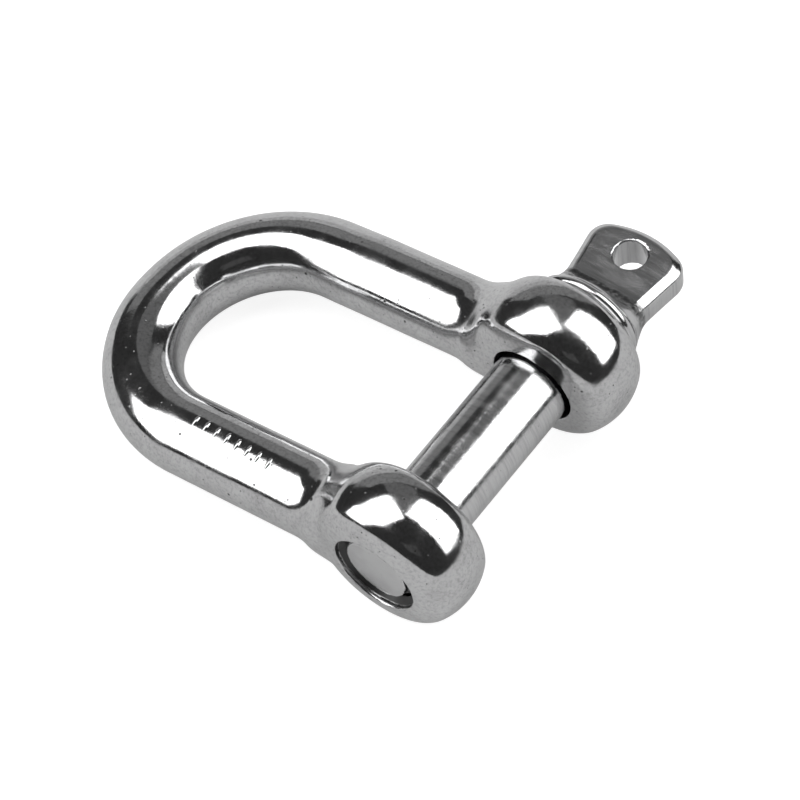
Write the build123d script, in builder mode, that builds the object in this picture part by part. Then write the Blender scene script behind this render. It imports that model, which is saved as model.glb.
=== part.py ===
from build123d import *

import os
from math import asin, cos, degrees, radians, sin, tan

# A cast D shackle for 12 mm rigging, lying on its side: a bow casting closed by a screw pin.
# Millimetres. The pin's axis is Y, with the eye at +Y, and the crown is towards -X. The origin is
# the middle of the pin's clear span. The shackle is modelled in the plane of its bow, then leaned
# about Y until the crown and the rims of both ears rest on one level surface.

# ---- driving dimensions ----
BAR_D = 12.0  # round bar of the bow, the nominal size of the shackle
PIN_D = 12.0
NECK_D = 11.6  # shank where it stands in the plain ear and the collar
INSIDE_WIDTH = 24.5  # between the ears
CROWN_CENTRE = 40.0  # from the pin's axis to the centre of the crown's half circle
EAR_D = 24.6
EAR_THICKNESS = 13.0
EAR_FACE_R = 8.0  # flat part of each ear's faces; the rim bulges outside it
EAR_BLEND_R = 3.0  # between an ear and its leg
LEG_SETBACK = 0.15  # of each leg's inner side from its ear's inner face

PLAIN_HOLE_D = 13.2
HOLE_CHAMFER = 0.6
TAPPED_MOUTH_D = 14.0
TAPPED_BACK_MOUTH_D = 13.0

PITCH = 1.75  # M12 coarse
THREAD_MINOR_D = 9.7
THREAD_CREST_D = 11.7
TAPPED_MINOR_D = 10.24
TAPPED_ROOT_D = 12.1
RIDGE_BURY = 0.15  # how far a thread ridge is sunk into its core
FLANK_PLAY = 0.17  # taken off each thread ridge and added to each groove, along the axis
THREAD_RELIEF = 1.6  # unthreaded neck between the thread and the tapped ear's inner face
SHANK_GAP = 0.2  # from each ear's inner face to the full shank

TIP_RECESS = 1.0  # tip of the pin below the outer face of the tapped ear
TIP_CHAMFER = 0.65

COLLAR_D = 16.8
COLLAR_THICKNESS = 1.7
COLLAR_ROUND = 0.7
COLLAR_PLAY = 0.04  # round the shank and beside the ear and the eye

EYE_ROOT_HALF_WIDTH = 6.4
EYE_TIP_HALF_WIDTH = 8.2
EYE_SIDE_LENGTH = 12.82  # from the collar to the corners
EYE_CROWNING = 2.4  # how far the end bulges past the corners
EYE_WAIST = 0.12  # how far the flared sides hollow in
EYE_THICKNESS = 5.7
EYE_CORNER_R = 1.8
EYE_EDGE_R = 1.2
EYE_HOLE_D = 5.04
EYE_HOLE_CHAMFER = 0.25
EYE_HOLE_DISTANCE = 10.21  # from the collar
EYE_TURN = -9.0  # degrees from the plane of the bow, where the pin comes tight
ROOT_BOSS_R = 6.2
ROOT_BOSS_LENGTH = 3.4

# ---- derived places ----
LEG_Y = INSIDE_WIDTH / 2 + LEG_SETBACK + BAR_D / 2
EAR_IN = INSIDE_WIDTH / 2
EAR_OUT = EAR_IN + EAR_THICKNESS
EAR_MID = EAR_IN + EAR_THICKNESS / 2
TIP_Y = TIP_RECESS - EAR_OUT
THREAD_START_Y = -EAR_OUT - PITCH  # outside the tapped ear, where both threads are in phase
THREAD_END_Y = -EAR_IN - THREAD_RELIEF
SHANK_START_Y = -EAR_IN + SHANK_GAP
COLLAR_IN = EAR_OUT + COLLAR_PLAY
COLLAR_OUT = COLLAR_IN + COLLAR_THICKNESS
EYE_ROOT = COLLAR_OUT + COLLAR_PLAY
EYE_CORNER = EYE_ROOT + EYE_SIDE_LENGTH
EYE_END = EYE_CORNER + EYE_CROWNING
LEAN = -degrees(asin((EAR_D - BAR_D) / 2 / (CROWN_CENTRE + LEG_Y)))

EYE_HOLE_Y = COLLAR_OUT + EYE_HOLE_DISTANCE
EYE_PLANE = Plane(
    origin=(0, 0, 0),
    x_dir=(cos(radians(EYE_TURN)), 0, sin(radians(EYE_TURN))),
    z_dir=(-sin(radians(EYE_TURN)), 0, cos(radians(EYE_TURN))),
)
PITCH_R = PIN_D / 2 - 0.375 * PITCH * sin(radians(60))


def flank_width(radius):
    """Axial width of the basic 60 degree thread ridge at a radius."""
    return PITCH / 2 - 2 * (radius - PITCH_R) * tan(radians(30))


def thread_ridge(root_r, crest_r, play, y_start, length):
    """A helical ridge about Y: narrower than the basic thread by play, or wider if play is negative."""
    root_w = flank_width(root_r - RIDGE_BURY) - play
    crest_w = flank_width(crest_r) - play
    with BuildPart() as ridge:
        with BuildLine() as path:
            Helix(PITCH, length, root_r, center=(0, y_start, 0), direction=(0, 1, 0))
        start = path.line @ 0
        radial = Vector(start.X, 0, start.Z).normalized()
        with BuildSketch(Plane(origin=start, x_dir=radial, z_dir=radial.cross(Vector(0, 1, 0)))):
            with BuildLine():
                Polyline(
                    (-RIDGE_BURY, -root_w / 2),
                    (crest_r - root_r, -crest_w / 2),
                    (crest_r - root_r, crest_w / 2),
                    (-RIDGE_BURY, root_w / 2),
                    close=True,
                )
            make_face()
        sweep(path=path.line, is_frenet=True)
    return ridge.part


# ---- tap: the shape that is cut through the tapped ear ----
with BuildPart() as tap:
    with BuildSketch(Plane(origin=(0, THREAD_START_Y - PITCH, 0), z_dir=(0, 1, 0))):
        Circle(TAPPED_MINOR_D / 2)
    extrude(amount=EAR_THICKNESS + 4 * PITCH)
    add(
        thread_ridge(
            TAPPED_MINOR_D / 2,
            TAPPED_ROOT_D / 2,
            -FLANK_PLAY,
            THREAD_START_Y,
            EAR_THICKNESS + 2 * PITCH,
        )
    )

# ---- bow casting: bent bar with an ear on each leg, one tapped and one plain ----
with BuildPart() as bow:
    with BuildLine() as centre_line:
        Line((0, -LEG_Y), (-CROWN_CENTRE, -LEG_Y))
        ThreePointArc((-CROWN_CENTRE, -LEG_Y), (-CROWN_CENTRE - LEG_Y, 0), (-CROWN_CENTRE, LEG_Y))
        Line((-CROWN_CENTRE, LEG_Y), (0, LEG_Y))
    with BuildSketch(Plane(origin=(0, -LEG_Y, 0), z_dir=(-1, 0, 0))):
        Circle(BAR_D / 2)
    sweep(path=centre_line.line)

    for side in (-1, 1):
        near = side * EAR_MID - EAR_THICKNESS / 2
        far = side * EAR_MID + EAR_THICKNESS / 2
        with BuildSketch(Plane.XY):
            with BuildLine():
                Line((0, near), (EAR_FACE_R, near))
                EllipticalCenterArc(
                    (EAR_FACE_R, side * EAR_MID),
                    EAR_D / 2 - EAR_FACE_R,
                    EAR_THICKNESS / 2,
                    start_angle=-90,
                    arc_size=180,
                )
                Line((EAR_FACE_R, far), (0, far))
                Line((0, far), (0, near))
            make_face()
        revolve(axis=Axis.Y)
    fillet(bow.edges().filter_by(GeomType.BSPLINE), EAR_BLEND_R)

    with Locations(Plane(origin=(0, EAR_MID, 0), z_dir=(0, 1, 0))):
        Cylinder(PLAIN_HOLE_D / 2, EAR_THICKNESS + 1, mode=Mode.SUBTRACT)
    for y, outwards in ((EAR_IN, -1), (EAR_OUT, 1)):
        with Locations(Plane(origin=(0, y, 0), z_dir=(0, -outwards, 0))):
            Cone(
                PLAIN_HOLE_D / 2 + HOLE_CHAMFER,
                PLAIN_HOLE_D / 2,
                HOLE_CHAMFER,
                align=(Align.CENTER, Align.CENTER, Align.MIN),
                mode=Mode.SUBTRACT,
            )

    for y, outwards, mouth_d in ((-EAR_OUT, -1, TAPPED_MOUTH_D), (-EAR_IN, 1, TAPPED_BACK_MOUTH_D)):
        with Locations(Plane(origin=(0, y, 0), z_dir=(0, -outwards, 0))):
            Cone(
                mouth_d / 2,
                TAPPED_MINOR_D / 2,
                (mouth_d - TAPPED_MINOR_D) / 2,
                align=(Align.CENTER, Align.CENTER, Align.MIN),
                mode=Mode.SUBTRACT,
            )
    add(tap.part, mode=Mode.SUBTRACT)

# ---- collar of the screw pin: the rim that seats on the plain ear ----
with BuildPart() as collar:
    with BuildSketch(Plane(origin=(0, COLLAR_IN, 0), z_dir=(0, 1, 0))):
        Circle(COLLAR_D / 2)
        Circle(NECK_D / 2 + COLLAR_PLAY, mode=Mode.SUBTRACT)
    extrude(amount=COLLAR_THICKNESS)
    fillet(collar.edges().filter_by(GeomType.CIRCLE).group_by(SortBy.LENGTH)[-1], COLLAR_ROUND)

# ---- screw pin: threaded tip, plain shank and flat flared eye ----
with BuildPart() as eye:
    with BuildSketch(EYE_PLANE):
        with BuildLine():
            Line((-EYE_ROOT_HALF_WIDTH, EYE_ROOT), (EYE_ROOT_HALF_WIDTH, EYE_ROOT))
            for side in (-1, 1):
                ThreePointArc(
                    (side * EYE_ROOT_HALF_WIDTH, EYE_ROOT),
                    (
                        side * ((EYE_ROOT_HALF_WIDTH + EYE_TIP_HALF_WIDTH) / 2 - EYE_WAIST),
                        (EYE_ROOT + EYE_CORNER) / 2,
                    ),
                    (side * EYE_TIP_HALF_WIDTH, EYE_CORNER),
                )
            ThreePointArc((-EYE_TIP_HALF_WIDTH, EYE_CORNER), (0, EYE_END), (EYE_TIP_HALF_WIDTH, EYE_CORNER))
        outline = make_face()
        fillet(outline.vertices().group_by(Axis.Y)[-1], EYE_CORNER_R)
    extrude(amount=EYE_THICKNESS / 2, both=True)
    flats = eye.faces().sort_by(Axis((0, 0, 0), EYE_PLANE.z_dir))
    rims = (flats[0].edges() + flats[-1].edges()).sort_by(Axis.Y)[2:]  # all but the two at the root
    fillet(rims, EYE_EDGE_R)
    with Locations(EYE_PLANE.location * Location((0, EYE_HOLE_Y, 0))):
        Hole(EYE_HOLE_D / 2)
    flats = eye.faces().sort_by(Axis((0, 0, 0), EYE_PLANE.z_dir))
    mouths = flats[0].inner_wires().edges() + flats[-1].inner_wires().edges()
    chamfer(mouths, EYE_HOLE_CHAMFER)

with BuildPart() as pin:
    with BuildSketch(Plane(origin=(0, THREAD_START_Y - PITCH, 0), z_dir=(0, 1, 0))):
        Circle(THREAD_MINOR_D / 2)
    extrude(amount=SHANK_START_Y - THREAD_START_Y + PITCH)
    add(
        thread_ridge(
            THREAD_MINOR_D / 2,
            THREAD_CREST_D / 2,
            FLANK_PLAY,
            THREAD_START_Y,
            THREAD_END_Y - THREAD_START_Y,
        )
    )
    with BuildSketch(Plane.XY):
        with BuildLine():
            Polyline(
                (0, TIP_Y),
                (THREAD_CREST_D / 2 - TIP_CHAMFER, TIP_Y),
                (THREAD_CREST_D / 2 + TIP_CHAMFER, TIP_Y + 2 * TIP_CHAMFER),
                (THREAD_CREST_D / 2 + TIP_CHAMFER, THREAD_START_Y - 2 * PITCH),
                (0, THREAD_START_Y - 2 * PITCH),
                close=True,
            )
        make_face()
    revolve(axis=Axis.Y, mode=Mode.SUBTRACT)
    with BuildSketch(Plane.XY):
        with BuildLine():
            Polyline(
                (0, SHANK_START_Y),
                (PIN_D / 2, SHANK_START_Y),
                (PIN_D / 2, -SHANK_START_Y),
                (NECK_D / 2, -SHANK_START_Y),
                (NECK_D / 2, EYE_ROOT),
                (ROOT_BOSS_R, EYE_ROOT),
                (ROOT_BOSS_R - ROOT_BOSS_LENGTH, EYE_ROOT + ROOT_BOSS_LENGTH),
                (0, EYE_ROOT + ROOT_BOSS_LENGTH),
                close=True,
            )
        make_face()
    revolve(axis=Axis.Y)
    add(eye.part)

# ---- lay the shackle down and write one file for each piece ----
os.makedirs("parts", exist_ok=True)
for name, piece in (("bow", bow.part), ("pin_collar", collar.part), ("screw_pin", pin.part)):
    laid = piece.rotate(Axis.Y, LEAN)
    laid.label = name
    export_step(laid, f"parts/{name}.step")
    print(name, laid.is_valid, len(laid.solids()), round(laid.volume, 1))

print("lean of the bow's plane", round(LEAN, 3))
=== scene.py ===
import math

import bmesh
import bpy
import numpy as np
from mathutils import Matrix, Vector


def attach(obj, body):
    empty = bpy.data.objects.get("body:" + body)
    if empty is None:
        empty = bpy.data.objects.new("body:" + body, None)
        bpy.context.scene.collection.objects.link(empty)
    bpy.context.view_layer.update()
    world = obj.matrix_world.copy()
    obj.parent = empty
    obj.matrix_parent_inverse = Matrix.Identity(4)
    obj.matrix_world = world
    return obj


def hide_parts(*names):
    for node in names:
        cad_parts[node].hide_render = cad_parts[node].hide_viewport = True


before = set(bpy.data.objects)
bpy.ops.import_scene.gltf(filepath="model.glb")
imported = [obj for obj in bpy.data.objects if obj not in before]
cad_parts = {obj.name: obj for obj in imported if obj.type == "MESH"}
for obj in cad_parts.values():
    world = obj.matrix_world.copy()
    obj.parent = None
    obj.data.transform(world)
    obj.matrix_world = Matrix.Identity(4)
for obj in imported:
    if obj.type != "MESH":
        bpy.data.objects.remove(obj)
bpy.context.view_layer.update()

MM = 0.001

# ---- sizes in millimetres, in the plane of the bow: the pin along +Y, the crown towards -X ----

# the bent bar
BAR_R = 6.0
LEG_Y = 18.4
LEG_END_X = -8.0  # where each leg ends inside its ear
CROWN_X = -40.0  # centre of the crown's half circle
CROWN_TIP = 0.13  # slope of the flat that polishing left on the crown's top
CROWN_FLAT_X = (-42.0, -32.0)  # the flat fades out between these, towards the legs
CROWN_FLAT_Y = (-9.0, 3.0)  # and it sets in between these, on the eye's side

# the ears
EAR_IN = 12.25
EAR_OUT = 25.25
EAR_MID = 18.75
EAR_HALF = 6.5
EAR_R = 12.3
EAR_CONE = math.radians(17.5)  # how far the faces fall back from flat, outside the hole's mouth
EAR_CONE_REACH = 8.45  # of that cone from the ear's centre, square to it
EAR_RIM_R = 10.0  # of the rim's gentle curve from face to face
FACE_BLEND = 0.9  # from flat face to cone
RIM_BLEND = 1.1  # from cone to rim
FILLET_LEAST = 0.4  # from ear to leg, close to the hole
FILLET_GROWTH = 4.4  # and this much more of it further out
FILLET_ZONE = (8.5, 13.0)  # distances from the pin's axis where it grows

# the two holes through the ears
PLAIN_HOLE_R = 6.6
TAPPED_R = (5.12, 6.05)  # the internal thread's crests and roots
MOUTH_R = 6.65  # of the tapped hole, at the ear's outer face
MOUTH_DEPTH = 0.9  # straight part of that mouth, before it narrows to the thread
INNER_MOUTH_INSET = 0.45  # how much narrower the mouth on the ear's inner face is
HOLE_EDGE = 0.3  # rounding of the holes' edges

# the cast skin, uneven outside the holes' mouths: (height, wavelength)
SKIN_ZONE = (8.6, 10.5)  # distances from the pin's axis where the unevenness sets in
LONG_WAVES = (0.012, 11.0)
SHORT_WAVES = (0.005, 4.5)
WAVE_DIRECTIONS = (((0.9, 0.5, 0.3), 1.3), ((-0.6, 0.8, 0.7), 4.1), ((0.4, -0.7, 1.1), 2.2))

# the thread
PITCH = 1.75
PITCH_R = 5.432
FLANK_SLOPE = math.tan(math.radians(30))
THREAD_PLAY = 0.17
PIN_THREAD_R = (4.85, 5.85)  # the external thread's roots and crests

# the screw pin
PIN_R = 6.0
NECK_R = 5.8
TIP_Y = -24.25
TIP_R = 5.2
TIP_EDGE = 0.15
THREAD_END_Y = -13.85
SHANK_Y = -12.05
COLLAR_R = 8.4
COLLAR_IN = 25.29
COLLAR_OUT = 26.99
COLLAR_RIM = 0.8  # rounding of the collar's rim
PLAY = 0.04  # between the neck and the collar
HEAD_PLAY = 0.02  # between the collar and the head
FLANGE_R = 7.7  # of the cone behind the collar, at the eye's root
FLANGE_SLOPE = 0.8
FLANGE_SLANT = 1.28  # length of the cone's normal, for true distances
FLANGE_LENGTH = 1.3
FLANGE_EDGE = 0.8
HEAD_FILLET = 3.2  # from that cone to the eye

# the flat eye
EYE_ROOT = 27.03
EYE_CORNER = 39.85  # where the sides end
EYE_CROWNING = 2.4  # how far the round end stands beyond them
EYE_HALF = 2.85  # half of its thickness
EYE_TURN = math.radians(-9.0)
EYE_ROOT_WIDTH = 6.4  # half widths
EYE_END_WIDTH = 8.2
EYE_FLARE = 1.8
EYE_FLARE_RANGE = (-0.2, 1.3)  # how far the flare goes on past the root and the corners
EYE_WAIST = 0.5  # hollow of each side
EYE_SIDE_SLANT = 0.99  # for true distances from the slanting sides
EYE_END_SLANT = 0.94  # and from the round end
EYE_CORNER_R = 2.6
EYE_SUNK = 0.6  # how deep its root goes into the cone
EYE_BEVEL = 1.15
EYE_EDGE = 0.3  # where a face would meet a side
EYE_BEVEL_EDGE = 0.35  # where the bevel meets them
EYE_HOLE_Y = 37.2
EYE_HOLE_R = 2.52
EYE_HOLE_BEVEL = 0.16
EYE_HOLE_EDGE = 0.12

# the raised bars on the near leg
BAR_COUNT = 8
BAR_START_X = -36.0
BAR_PITCH = 2.05
BAR_LENGTH = 2.3
BAR_THICK = 0.42  # half of a bar's thickness
BAR_SINK = 0.22  # how deep a bar's middle lies below the leg's top
BAR_TILTS = (-1.0, -1.5)  # degrees round the leg: the first bar, and each one after it
BAR_RINGS = 9
BAR_SPOKES = 12

# how the shackle lies on the floor
LEAN = math.radians(-6.193)
FLOOR_Z = -12.3 * MM

# ---- the mesh's fineness, in millimetres ----
BOW_GRID = 0.42
TAPPED_GRID = 0.22
PIN_GRID = 0.3
SHANK_GRID = 0.43
THREAD_GRID = 0.2
COLLAR_SPOKES = 192
COLLAR_RIM_STEPS = 12
RELAX_PASSES = 6
SETTLE_PASSES = 4
SLOPE_STEP = 0.01
LEAST_SLOPE = 0.05  # squared, so that a flat spot of a field moves no point far
LONGEST_MOVE = 0.25


# ---- fields: each is negative inside the metal and positive outside, in millimetres ----
def smooth_union(a, b, reach):
    """The lower of two fields, with the crease between them filled to a fillet."""
    h = np.clip(0.5 + 0.5 * (b - a) / reach, 0, 1)
    return b + (a - b) * h - reach * h * (1 - h)


def smooth_overlap(a, b, reach):
    """The higher of two fields, with the ridge between them rounded."""
    return -smooth_union(-a, -b, reach)


def smooth_step(value, start, end):
    """0 up to start, 1 from end on, and an S-curve between them."""
    t = np.clip((value - start) / (end - start), 0, 1)
    return t * t * (3 - 2 * t)


def bar_field(x, y, z):
    """The bent round bar: two straight legs and a half-circle crown."""
    across = np.where(x > CROWN_X, np.abs(y), np.hypot(x - CROWN_X, y)) - LEG_Y
    past_end = np.maximum(x - LEG_END_X, 0)
    return np.sqrt(across**2 + z**2 + past_end**2) - BAR_R


def crown_flat(x, y, z):
    """What polishing took off the crown's top, which tips a little towards its outer side."""
    outward = np.hypot(x - CROWN_X, y) - LEG_Y
    on_crown = (1 - smooth_step(x, *CROWN_FLAT_X)) * smooth_step(y, *CROWN_FLAT_Y)
    return CROWN_TIP * outward * on_crown * np.clip(z / BAR_R, 0, 1) ** 2


def ear_field(x, y, z):
    """A fat disc on each side, about the pin's axis: faces that fall back to a barrel-shaped rim."""
    radial = np.hypot(x, z)
    axial = np.abs(np.abs(y) - EAR_MID)
    face = axial - EAR_HALF
    cone = axial * math.cos(EAR_CONE) + radial * math.sin(EAR_CONE) - EAR_CONE_REACH
    rim = np.hypot(axial, radial - EAR_R + EAR_RIM_R) - EAR_RIM_R
    return smooth_overlap(smooth_overlap(face, cone, FACE_BLEND), rim, RIM_BLEND)


def thread_radius(x, y, z, play, low, high):
    """A right-hand 60 degree thread about Y: its radius at each point."""
    turn = np.arctan2(x, z) / (2 * math.pi)
    along = np.abs((y / PITCH - turn) % 1 - 0.5) * PITCH
    radius = PITCH_R + (PITCH / 4 - along + play / 2) / FLANK_SLOPE
    return np.clip(radius, low, high)


def bore_field(x, y, z):
    """The two holes through the ears, negative where metal is cut away."""
    tapped = thread_radius(x, y, z, THREAD_PLAY, *TAPPED_R)
    depth_out = y + EAR_OUT
    depth_in = -EAR_IN - y
    tapped = np.maximum(tapped, MOUTH_R - np.maximum(depth_out - MOUTH_DEPTH, 0))
    tapped = np.maximum(tapped, MOUTH_R - INNER_MOUTH_INSET - depth_in)
    return np.hypot(x, z) - np.where(y < 0, tapped, PLAIN_HOLE_R)


def waves(x, y, z, height, length):
    """A gentle unevenness of the cast and hand-polished skin: three crossing waves."""
    k = 2 * math.pi / length
    total = sum(
        np.sin(k * (a * x + b * y + c * z) + phase) for (a, b, c), phase in WAVE_DIRECTIONS
    )
    return height * (total / len(WAVE_DIRECTIONS))


def bow_field(x, y, z):
    """The casting: bar and ears in one, its uneven skin, and its two holes."""
    from_axis = np.hypot(x, z)
    fillet = FILLET_LEAST + FILLET_GROWTH * smooth_step(from_axis, *FILLET_ZONE)
    bar = bar_field(x, y, z) + crown_flat(x, y, z)
    metal = smooth_union(bar, ear_field(x, y, z), fillet)
    uneven = waves(x, y, z, *LONG_WAVES) + waves(y, z, x, *SHORT_WAVES)
    metal = metal + smooth_step(from_axis, *SKIN_ZONE) * uneven
    return smooth_overlap(metal, -bore_field(x, y, z), HOLE_EDGE)


def eye_field(x, y, z):
    """The flat flared eye, bevelled all round, with its hole."""
    u = x * math.cos(EYE_TURN) + z * math.sin(EYE_TURN)
    n = -x * math.sin(EYE_TURN) + z * math.cos(EYE_TURN)
    flare = np.clip((y - EYE_ROOT) / (EYE_CORNER - EYE_ROOT), *EYE_FLARE_RANGE)
    width = EYE_ROOT_WIDTH + EYE_FLARE * flare - EYE_WAIST * flare * (1 - flare)
    side = np.abs(u) - width
    end = y - (EYE_CORNER + EYE_CROWNING * (1 - (u / EYE_END_WIDTH) ** 2))
    outline = smooth_overlap(side * EYE_SIDE_SLANT, end * EYE_END_SLANT, EYE_CORNER_R)
    outline = np.maximum(outline, EYE_ROOT - EYE_SUNK - y)
    face = np.abs(n) - EYE_HALF
    bevel = (outline + face + EYE_BEVEL) * math.sqrt(0.5)
    plate = smooth_overlap(smooth_overlap(outline, face, EYE_EDGE), bevel, EYE_BEVEL_EDGE)
    hole = np.hypot(u, y - EYE_HOLE_Y) - EYE_HOLE_R
    hole = hole - np.maximum(np.abs(n) - EYE_HALF + EYE_HOLE_BEVEL, 0)
    return smooth_overlap(plate, -hole, EYE_HOLE_EDGE)


def pin_field(x, y, z):
    """Threaded tip, shank, the root that flares out behind the collar, and the eye."""
    from_axis = np.hypot(x, z)
    thread = thread_radius(x, y, z, -THREAD_PLAY, *PIN_THREAD_R)
    radius = np.where(y < THREAD_END_Y, thread, PIN_THREAD_R[0])
    radius = np.where(y > SHANK_Y, np.where(y > EAR_IN, NECK_R, PIN_R), radius)
    tip_bevel = TIP_R + (y - TIP_Y)
    shaft = from_axis - np.minimum(radius, tip_bevel)
    shaft = smooth_overlap(shaft, TIP_Y - y, TIP_EDGE)
    shaft = np.maximum(shaft, y - EYE_ROOT - 1)
    cone = (from_axis - FLANGE_R + FLANGE_SLOPE * (y - EYE_ROOT)) / FLANGE_SLANT
    flange = smooth_overlap(cone, y - EYE_ROOT - FLANGE_LENGTH, FLANGE_EDGE)
    head = smooth_union(eye_field(x, y, z), flange, HEAD_FILLET)
    head = np.maximum(head, COLLAR_OUT + HEAD_PLAY - y)
    return np.minimum(shaft, head)


# ---- turning a field into a mesh ----
def lines(*stretches):
    """Grid lines along one axis: each stretch is (start, end, spacing)."""
    out = []
    for start, end, spacing in stretches:
        out.append(np.linspace(start, end, round((end - start) / spacing) + 1)[:-1])
    return np.concatenate(out + [[stretches[-1][1]]])


def surface_cells(values):
    """The grid cells that the surface runs through, and a number for each of them."""
    shape = tuple(n - 1 for n in values.shape)
    inside = values < 0
    count = np.zeros(shape, np.int8)
    for step in np.ndindex(2, 2, 2):
        count += inside[tuple(slice(s, s + n) for s, n in zip(step, shape))]
    cells = np.argwhere((count > 0) & (count < 8))
    index = np.full(shape, -1)
    index[tuple(cells.T)] = np.arange(len(cells))
    return cells, index


def cell_points(values, axes, cells):
    """A point in each of these cells: the mean of where the surface cuts the cell's edges."""
    points = np.zeros((len(cells), 3))
    crossings = np.zeros(len(cells))
    for a in np.ndindex(2, 2, 2):
        for axis in range(3):
            if a[axis]:
                continue
            b = tuple(s + (d == axis) for d, s in enumerate(a))
            ends = [cells + np.array(s) for s in (a, b)]
            level = [values[tuple(e.T)] for e in ends]
            place = [np.stack([axes[d][e[:, d]] for d in range(3)], -1) for e in ends]
            cut = (level[0] < 0) != (level[1] < 0)
            share = np.where(cut, level[0] / np.where(cut, level[0] - level[1], 1), 0)
            points += cut[:, None] * (place[0] + share[:, None] * (place[1] - place[0]))
            crossings += cut
    return points / crossings[:, None]


def cell_quads(inside, index):
    """A quad round each grid edge that the surface cuts, through the points of its four cells."""
    quads = []
    for axis in range(3):
        b, c = (axis + 1) % 3, (axis + 2) % 3
        low = [slice(None)] * 3
        high = [slice(None)] * 3
        low[axis], high[axis] = slice(None, -1), slice(1, None)
        start, stop = inside[tuple(low)], inside[tuple(high)]
        for leaving in (True, False):
            edges = np.argwhere((start != stop) & (start == leaving))
            ring = []
            for db, dc in ((-1, -1), (0, -1), (0, 0), (-1, 0)):
                cell = edges.copy()
                cell[:, b] += db
                cell[:, c] += dc
                ring.append(index[tuple(cell.T)])
            quads.append(np.stack(ring if leaving else ring[::-1], -1))
    return np.concatenate(quads)


def field_slope(field, points):
    """The field's gradient at these points."""
    out = np.zeros_like(points)
    for d in range(3):
        shift = np.zeros(3)
        shift[d] = SLOPE_STEP
        rise = field(*(points + shift).T) - field(*(points - shift).T)
        out[:, d] = rise / (2 * SLOPE_STEP)
    return out


def settled(field, points):
    """The points, moved along the field's slope to its surface."""
    slope = field_slope(field, points)
    steepness = np.maximum((slope**2).sum(1, keepdims=True), LEAST_SLOPE)
    move = field(*points.T)[:, None] * slope / steepness
    length = np.linalg.norm(move, axis=1, keepdims=True)
    return points - move * np.minimum(1, LONGEST_MOVE / np.maximum(length, 1e-9))


def net_mesh(name, field, *axes):
    """A closed quad mesh of the field's zero surface on a grid of these lines, with exact normals."""
    values = field(*np.meshgrid(*axes, indexing="ij"))
    cells, index = surface_cells(values)
    points = cell_points(values, axes, cells)
    quads = cell_quads(values < 0, index)

    pairs = np.concatenate([quads[:, [i, (i + 1) % 4]] for i in range(4)])
    neighbours = np.bincount(pairs[:, 0], minlength=len(points))[:, None]
    for _ in range(RELAX_PASSES):
        near = [np.bincount(pairs[:, 0], points[pairs[:, 1], d], len(points)) for d in range(3)]
        points = settled(field, points * 0.5 + 0.5 * np.stack(near, -1) / neighbours)
    for _ in range(SETTLE_PASSES):
        points = settled(field, points)
    normals = field_slope(field, points)
    normals /= np.linalg.norm(normals, axis=1, keepdims=True)
    return mesh_object(name, points, quads, normals)


# ---- making pieces ----
def to_row(vectors):
    """From the plane of the bow to the row frame, where the shackle lies down."""
    lean = np.array(Matrix.Rotation(LEAN, 3, "Y"))
    return vectors @ lean.T


def linked(name, mesh):
    """A new object with this mesh, in the scene."""
    made = bpy.data.objects.new(name, mesh)
    bpy.context.scene.collection.objects.link(made)
    return made


def smooth(mesh):
    mesh.polygons.foreach_set("use_smooth", np.ones(len(mesh.polygons), bool))


def mesh_object(name, points, faces, normals=None):
    """A smooth piece from arrays, in millimetres in the plane of the bow."""
    mesh = bpy.data.meshes.new(name)
    mesh.vertices.add(len(points))
    mesh.vertices.foreach_set("co", (to_row(points) * MM).ravel())
    mesh.loops.add(faces.size)
    mesh.loops.foreach_set("vertex_index", faces.ravel())
    mesh.polygons.add(len(faces))
    mesh.polygons.foreach_set("loop_start", np.arange(len(faces)) * faces.shape[1])
    mesh.update(calc_edges=True)
    mesh.validate()
    smooth(mesh)
    if normals is not None:
        mesh.normals_split_custom_set_from_vertices(to_row(normals))
    return linked(name, mesh)


def bar_points(bar):
    """Rings of points of one rounded bar, lying across the leg and bent to its round top."""
    points = []
    along = BAR_START_X + bar * BAR_PITCH
    tilt = math.radians(BAR_TILTS[0] + BAR_TILTS[1] * bar)
    for ring in range(BAR_RINGS):
        polar = math.pi * (ring + 0.5) / BAR_RINGS
        across = BAR_LENGTH / 2 * math.cos(polar) / math.cos(math.pi / 2 / BAR_RINGS)
        thick = BAR_THICK * math.sin(polar)
        for spoke in range(BAR_SPOKES):
            turn = 2 * math.pi * spoke / BAR_SPOKES
            height = BAR_R - BAR_SINK + thick * math.sin(turn) - across**2 / (2 * BAR_R)
            y = -LEG_Y + height * math.sin(tilt) + across * math.cos(tilt)
            z = height * math.cos(tilt) - across * math.sin(tilt)
            points.append((along + thick * math.cos(turn), y, z))
    return points


def raised_bars():
    """Rounded bars across the leg's top, sunk into it so that they stand a little proud."""
    points, faces = [], []
    for bar in range(BAR_COUNT):
        first = len(points)
        last = first + (BAR_RINGS - 1) * BAR_SPOKES
        points += bar_points(bar)
        for ring in range(first, last, BAR_SPOKES):
            after = ring + BAR_SPOKES
            for spoke in range(BAR_SPOKES):
                ahead = (spoke + 1) % BAR_SPOKES
                faces.append((ring + spoke, ring + ahead, after + ahead, after + spoke))
        faces.append(tuple(range(first + BAR_SPOKES - 1, first - 1, -1)))
        faces.append(tuple(range(last, last + BAR_SPOKES)))
    mesh = bpy.data.meshes.new("leg_bars")
    mesh.from_pydata(to_row(np.array(points)) * MM, [], faces)
    smooth(mesh)
    shell = bmesh.new()
    shell.from_mesh(mesh)
    bmesh.ops.recalc_face_normals(shell, faces=shell.faces)
    shell.to_mesh(mesh)
    shell.free()
    return linked("leg_bars", mesh)


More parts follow.
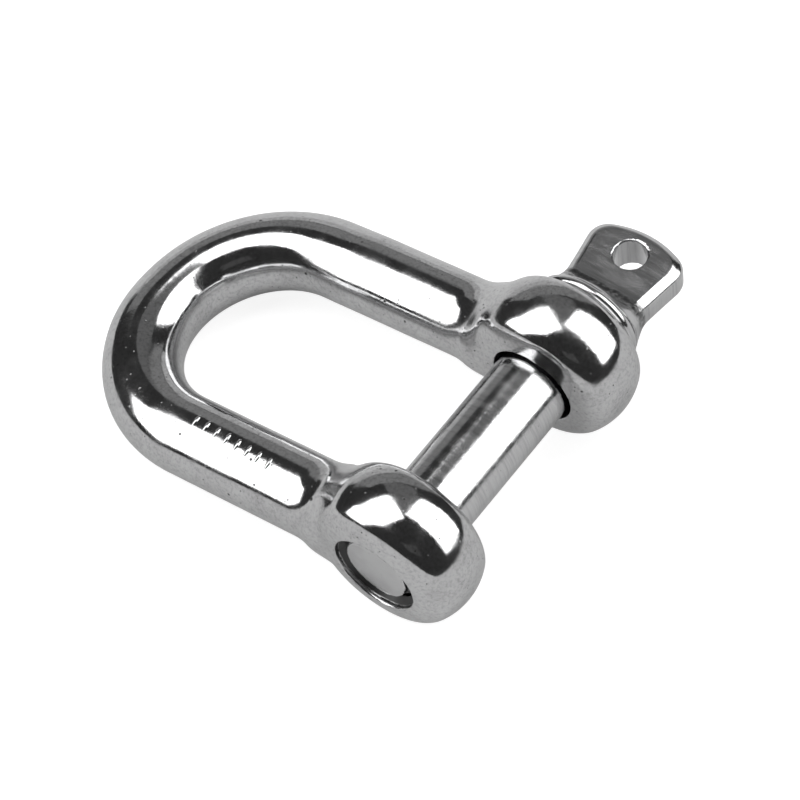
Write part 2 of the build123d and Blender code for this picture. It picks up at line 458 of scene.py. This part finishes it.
def collar_piece():
    """A thin disc with a rounded rim, turned about the pin's axis."""
    middle = (COLLAR_IN + COLLAR_OUT) / 2
    half = (COLLAR_OUT - COLLAR_IN) / 2
    profile = [(NECK_R + PLAY, COLLAR_IN), (COLLAR_R - COLLAR_RIM, COLLAR_IN)]
    for step in range(COLLAR_RIM_STEPS + 1):
        angle = math.pi * step / COLLAR_RIM_STEPS - math.pi / 2
        radius = COLLAR_R - COLLAR_RIM + COLLAR_RIM * math.cos(angle)
        profile.append((radius, middle + half * math.sin(angle)))
    profile.append((NECK_R + PLAY, COLLAR_OUT))

    angles = np.arange(COLLAR_SPOKES) * 2 * math.pi / COLLAR_SPOKES
    radius, height = np.array(profile).T
    around = (
        radius[:, None] * np.sin(angles),
        np.broadcast_to(height[:, None], (len(profile), COLLAR_SPOKES)),
        radius[:, None] * np.cos(angles),
    )
    faces = []
    for row in range(len(profile)):
        here = row * COLLAR_SPOKES
        after = (row + 1) % len(profile) * COLLAR_SPOKES
        for spoke in range(COLLAR_SPOKES):
            ahead = (spoke + 1) % COLLAR_SPOKES
            faces.append((here + spoke, here + ahead, after + ahead, after + spoke))
    return mesh_object("collar", np.stack(around, -1).reshape(-1, 3), np.array(faces))


# ---- materials ----
class Steel:
    """A polished stainless steel: its node tree, with short names for the nodes that shape it."""

    PLAIN = (0.62, 0.62, 0.62, 1)  # its colour where nothing reads the nodes

    def __init__(self, name):
        self.material = bpy.data.materials.new(name)
        self.material.use_nodes = True
        self.tree = self.material.node_tree
        self.shader = self.tree.nodes["Principled BSDF"]
        self.shader.inputs["Metallic"].default_value = 1
        self.shader.inputs["Base Color"].default_value = self.PLAIN
        self.place = self.node("ShaderNodeTexCoord").outputs["Object"]
        self.normal = None

    def node(self, kind, **settings):
        made = self.tree.nodes.new(kind)
        for key, value in settings.items():
            setattr(made, key, value)
        return made

    def feed(self, socket, value):
        """Links the socket to another one, or sets it to a number or a colour."""
        if isinstance(value, bpy.types.NodeSocket):
            self.tree.links.new(value, socket)
        else:
            socket.default_value = value

    def math(self, operation, a, b):
        made = self.node("ShaderNodeMath", operation=operation)
        self.feed(made.inputs[0], a)
        self.feed(made.inputs[1], b)
        return made.outputs[0]

    def total(self, *values):
        """The sum of these maps."""
        out = values[0]
        for value in values[1:]:
            out = self.math("ADD", out, value)
        return out

    def noise(self, stretch, detail, rough):
        """Noise with this many features per metre along each axis."""
        mapping = self.node("ShaderNodeMapping")
        self.feed(mapping.inputs["Vector"], self.place)
        mapping.inputs["Scale"].default_value = stretch
        made = self.node("ShaderNodeTexNoise")
        self.feed(made.inputs["Vector"], mapping.outputs[0])
        made.inputs["Scale"].default_value = 1
        made.inputs["Detail"].default_value = detail
        made.inputs["Roughness"].default_value = rough
        return made.outputs["Fac"]

    def spread(self, value, low, high, to_low, to_high):
        """Maps low..high to to_low..to_high, smoothly and clamped."""
        made = self.node("ShaderNodeMapRange", interpolation_type="SMOOTHSTEP")
        for socket, number in zip(made.inputs, (value, low, high, to_low, to_high)):
            self.feed(socket, number)
        return made.outputs[0]

    def between(self, value, low, high, soft):
        """1 where the value lies between low and high, fading over soft on both sides of each."""
        rise = self.spread(value, low - soft, low + soft, 0, 1)
        fall = self.spread(value, high - soft, high + soft, 1, 0)
        return self.math("MULTIPLY", rise, fall)

    def along_pin(self, low, high, soft):
        """1 between these places along the pin, in metres."""
        split = self.node("ShaderNodeSeparateXYZ")
        self.feed(split.inputs[0], self.place)
        return self.between(split.outputs["Y"], low, high, soft)

    def near_pin(self, low, high):
        """1 between these distances from the pin's axis, in metres."""
        flat = self.node("ShaderNodeVectorMath", operation="MULTIPLY")
        self.feed(flat.inputs[0], self.place)
        flat.inputs[1].default_value = (1, 0, 1)
        length = self.node("ShaderNodeVectorMath", operation="LENGTH")
        self.feed(length.inputs[0], flat.outputs[0])
        return self.between(length.outputs["Value"], low, high, 0.1 * MM)

    def pits(self, per_metre, width, share):
        """Round pits on a jittered grid: 1 in a pit, 0 elsewhere. Only this share of cells has one."""
        cells = self.node("ShaderNodeTexVoronoi")
        self.feed(cells.inputs["Vector"], self.place)
        cells.inputs["Scale"].default_value = per_metre
        hollow = self.spread(cells.outputs["Distance"], width * 0.3, width, 1, 0)
        channels = self.node("ShaderNodeSeparateColor")
        self.feed(channels.inputs[0], cells.outputs["Color"])
        chosen = self.math("LESS_THAN", channels.outputs[0], share)
        return self.math("MULTIPLY", hollow, chosen)

    def relief(self, height, depth):
        """Adds relief of this height map, scaled to depth in metres."""
        bump = self.node("ShaderNodeBump")
        bump.inputs["Distance"].default_value = depth
        self.feed(bump.inputs["Height"], height)
        if self.normal is not None:
            self.feed(bump.inputs["Normal"], self.normal)
        self.normal = bump.outputs[0]
        self.feed(self.shader.inputs["Normal"], self.normal)

    def tint(self, amount, light, dark):
        """The colour goes from light to dark as amount goes from 0 to 1."""
        ramp = self.node("ShaderNodeMix", data_type="RGBA")
        factor, first, second = ramp.inputs[0], ramp.inputs[6], ramp.inputs[7]
        self.feed(factor, amount)
        self.feed(first, (*light, 1))
        self.feed(second, (*dark, 1))
        self.feed(self.shader.inputs["Base Color"], ramp.outputs[2])

    def roughness(self, value):
        self.feed(self.shader.inputs["Roughness"], value)


def cast_steel():
    """Cast, then polished by hand: soft waves, fine grain, smears and scattered pits, with painted
    shade in the two holes.
    """
    steel = Steel("cast_steel")
    large_pits = steel.pits(480, 0.15, 0.2)
    small_pits = steel.pits(1300, 0.2, 0.16)
    pits = steel.math("MAXIMUM", large_pits, small_pits)
    smears = steel.noise((260, 260, 260), 4, 0.6)
    grain = steel.noise((1900, 1900, 1900), 3, 0.7)
    shaded_bores = steel.near_pin(0, 6.62 * MM)  # painted shade in the two holes

    dark_grain = steel.spread(grain, 0.4, 0.75, 0, 0.28)
    dark_smears = steel.spread(smears, 0.4, 0.7, 0, 0.12)
    # grain, pits and smears, with the painted shade of the two holes
    dull_and_shade = steel.total(dark_grain, pits, dark_smears, shaded_bores)
    steel.tint(dull_and_shade, (0.66, 0.66, 0.665), (0.07, 0.07, 0.07))

    rough_smears = steel.spread(smears, 0.3, 0.75, 0.07, 0.18)
    rough_pits = steel.math("MULTIPLY", pits, 0.2)
    rough_bores = steel.math("MULTIPLY", shaded_bores, 0.3)
    steel.roughness(steel.total(rough_smears, rough_pits, rough_bores))

    steel.relief(steel.noise((330, 330, 330), 2, 0.5), 0.02 * MM)
    steel.relief(grain, 0.006 * MM)
    steel.relief(steel.math("MULTIPLY", pits, -1), 0.02 * MM)
    return steel.material


def turned_steel():
    """Turned in a lathe and polished: lines round the pin, a darker, lumpy root to the eye, painted
    shade in the thread's grooves.
    """
    steel = Steel("turned_steel")
    smears = steel.noise((200, 500, 200), 4, 0.6)
    pits = steel.pits(1400, 0.14, 0.1)
    turning = steel.noise((90, 2600, 90), 3, 0.7)
    root = steel.along_pin(28.5 * MM, 31.2 * MM, 0.9 * MM)  # of the eye, lumpy and darker there
    lumps = steel.math("MULTIPLY", steel.noise((900, 900, 900), 3, 0.7), root)
    on_thread = steel.along_pin(-23.9 * MM, -12.2 * MM, 0.1 * MM)
    # painted shade in the thread's grooves
    groove_shade = steel.math("MULTIPLY", on_thread, steel.near_pin(5.3 * MM, 5.6 * MM))

    dark_root = steel.math("MULTIPLY", steel.spread(lumps, 0.3, 0.6, 0.2, 1), root)
    dark_turning = steel.spread(turning, 0.4, 0.75, 0, 0.28)
    # turning lines, pits, the darker root and the painted shade of the thread's grooves
    dull_and_shade = steel.total(dark_turning, pits, dark_root, groove_shade)
    steel.tint(dull_and_shade, (0.65, 0.65, 0.655), (0.15, 0.15, 0.15))

    steel.roughness(steel.spread(smears, 0.3, 0.75, 0.1, 0.24))

    steel.relief(lumps, 0.15 * MM)
    steel.relief(turning, 0.008 * MM)
    steel.relief(steel.noise((350, 350, 350), 2, 0.5), 0.008 * MM)
    steel.relief(steel.noise((2200, 2200, 2200), 2, 0.7), 0.014 * MM)
    return steel.material


cast = cast_steel()
turned = turned_steel()

# ---- the bow ----
bow = net_mesh(
    "bow_casting",
    bow_field,
    lines((-65.6, 13.2, BOW_GRID)),
    lines((-26.4, -11.6, TAPPED_GRID), (-11.6, 26.4, BOW_GRID)),
    lines((-12.9, 12.9, BOW_GRID)),
)
bow.data.materials.append(cast)
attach(bow, "bow")
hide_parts("bow")

# ---- a row of plain raised bars on the near leg, where the casting carries its size ----
bars = raised_bars()
bars.data.materials.append(cast)
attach(bars, "bow")

# ---- the screw pin ----
pin = net_mesh(
    "pin_with_eye",
    pin_field,
    lines((-9.6, 9.6, PIN_GRID)),
    lines((-24.9, -11.9, THREAD_GRID), (-11.9, 26.8, SHANK_GRID), (26.8, 43.3, PIN_GRID)),
    lines((-9.3, 9.3, PIN_GRID)),
)
pin.data.materials.append(turned)
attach(pin, "pin")
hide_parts("screw_pin")

# ---- the collar ----
collar = collar_piece()
collar.data.materials.append(turned)
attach(collar, "collar")
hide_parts("pin_collar")


# ---- floor, light and camera ----
CARD_DISTANCE = 3.2  # metres
FLOOR_HALF = 2.0
REFLECTED_NEAR_X = 0.13
REFLECTED_FAR = 1.5
REFLECTED_RISE = 0.2 * MM  # above the white floor
BACKDROP_R = 4.0
WORLD_STRENGTH = 0.035


def glowing(name, brightness):
    """A material that only glows."""
    material = bpy.data.materials.new(name)
    material.use_nodes = True
    nodes, links = material.node_tree.nodes, material.node_tree.links
    nodes.clear()
    glow = nodes.new("ShaderNodeEmission")
    glow.inputs["Color"].default_value = (1, 1, 1, 1)
    glow.inputs["Strength"].default_value = brightness
    links.new(glow.outputs[0], nodes.new("ShaderNodeOutputMaterial").inputs["Surface"])
    return material


def matte(name, base, brightness):
    """A matte grey of this base value that also glows a little."""
    material = bpy.data.materials.new(name)
    material.use_nodes = True
    shader = material.node_tree.nodes["Principled BSDF"]
    shader.inputs["Base Color"].default_value = (base, base, base, 1)
    shader.inputs["Roughness"].default_value = 1
    shader.inputs["Specular IOR Level"].default_value = 0
    shader.inputs["Emission Color"].default_value = (1, 1, 1, 1)
    shader.inputs["Emission Strength"].default_value = brightness
    return material


def hide(thing, *rays):
    """Hides it from these sorts of rays."""
    for sort in rays:
        setattr(thing, "visible_" + sort, False)


def staged(name, mesh, material):
    """Puts this mesh with this material in the scene, not under any of the object's bodies."""
    thing = linked(name, mesh)
    mesh.materials.append(material)
    return thing


def sheet(name, corners, material):
    """A flat sheet in the studio with these corners, in metres."""
    mesh = bpy.data.meshes.new(name)
    mesh.from_pydata(corners, [], [tuple(range(len(corners)))])
    return staged(name, mesh, material)


def level_corners(near_x, far, height):
    """A level rectangle that ends at near_x towards +X, and at far on its other sides."""
    return [(-far, -far, height), (near_x, -far, height), (near_x, far, height), (-far, far, height)]


def card(name, brightness, *corners):
    """A softbox or reflector far off: its corners are (azimuth from +X, elevation) in degrees."""
    places = []
    for azimuth, elevation in corners:
        a, e = math.radians(azimuth), math.radians(elevation)
        flat = CARD_DISTANCE * math.cos(e)
        places.append((flat * math.cos(a), flat * math.sin(a), CARD_DISTANCE * math.sin(e)))
    hide(sheet(name, places, glowing(name + "_light", brightness)), "camera")


floor_corners = level_corners(FLOOR_HALF, FLOOR_HALF, FLOOR_Z)
floor = sheet("floor", floor_corners, matte("floor_white", 0.35, 0.86))
hide(floor, "glossy")

# what the steel reflects of the floor: a grey that the shackle's own shadow darkens
grey_corners = level_corners(REFLECTED_NEAR_X, REFLECTED_FAR, FLOOR_Z + REFLECTED_RISE)
grey_floor = sheet("floor_reflected", grey_corners, matte("floor_grey", 0.45, 0.15))
hide(grey_floor, "camera", "diffuse", "transmission", "shadow")

card("softbox_right", 2.8, (83, 44), (47, 2), (8, 9), (41, 78))
card(
    "softbox_left", 2.8,
    (137, 58), (10, 79), (-119, 34), (-121, 8), (-148, 12), (-168, 29), (-172, 42),
)
card("sweep_low", 0.5, (88, -3), (163, -3), (160, 11), (90, 11))
card("sweep_high", 0.24, (82, 11), (166, 11), (158, 33), (94, 28))
card("ceiling", 0.15, (88, 44), (41, 79), (10, 80), (137, 59), (140, 34), (100, 34))
card("bounce", 0.08, (-60, 28), (-25, 28), (-25, 45), (-60, 45))

# white walls and ceiling that only the camera sees
backdrop_mesh = bpy.data.meshes.new("backdrop")
shell = bmesh.new()
bmesh.ops.create_icosphere(shell, subdivisions=3, radius=BACKDROP_R)
shell.to_mesh(backdrop_mesh)
shell.free()
backdrop = staged("backdrop", backdrop_mesh, glowing("backdrop_white", 1.0))
hide(backdrop, "glossy", "diffuse", "transmission", "shadow", "volume_scatter")

world = bpy.data.worlds.new("studio")
bpy.context.scene.world = world
world.use_nodes = True
world.node_tree.nodes["Background"].inputs["Color"].default_value = (1, 1, 1, 1)
world.node_tree.nodes["Background"].inputs["Strength"].default_value = WORLD_STRENGTH

CAMERA_PLACE = Vector((208.77, -204.99, 415.63)) * MM
CAMERA_TARGET = Vector((-14.61, 0.60, 0.0)) * MM
CAMERA_ROLL = math.radians(-12.97)
camera_data = bpy.data.cameras.new("camera")
camera_data.lens = 163.04
camera_data.sensor_width = 36
camera_data.clip_start = 0.01
camera_data.clip_end = 20
camera = bpy.data.objects.new("camera", camera_data)
camera.location = CAMERA_PLACE
aim = (CAMERA_TARGET - CAMERA_PLACE).to_track_quat("-Z", "Y")
camera.rotation_euler = (aim.to_matrix() @ Matrix.Rotation(CAMERA_ROLL, 3, "Z")).to_euler()
bpy.context.scene.collection.objects.link(camera)
bpy.context.scene.camera = camera

bpy.context.scene.view_settings.view_transform = "Standard"
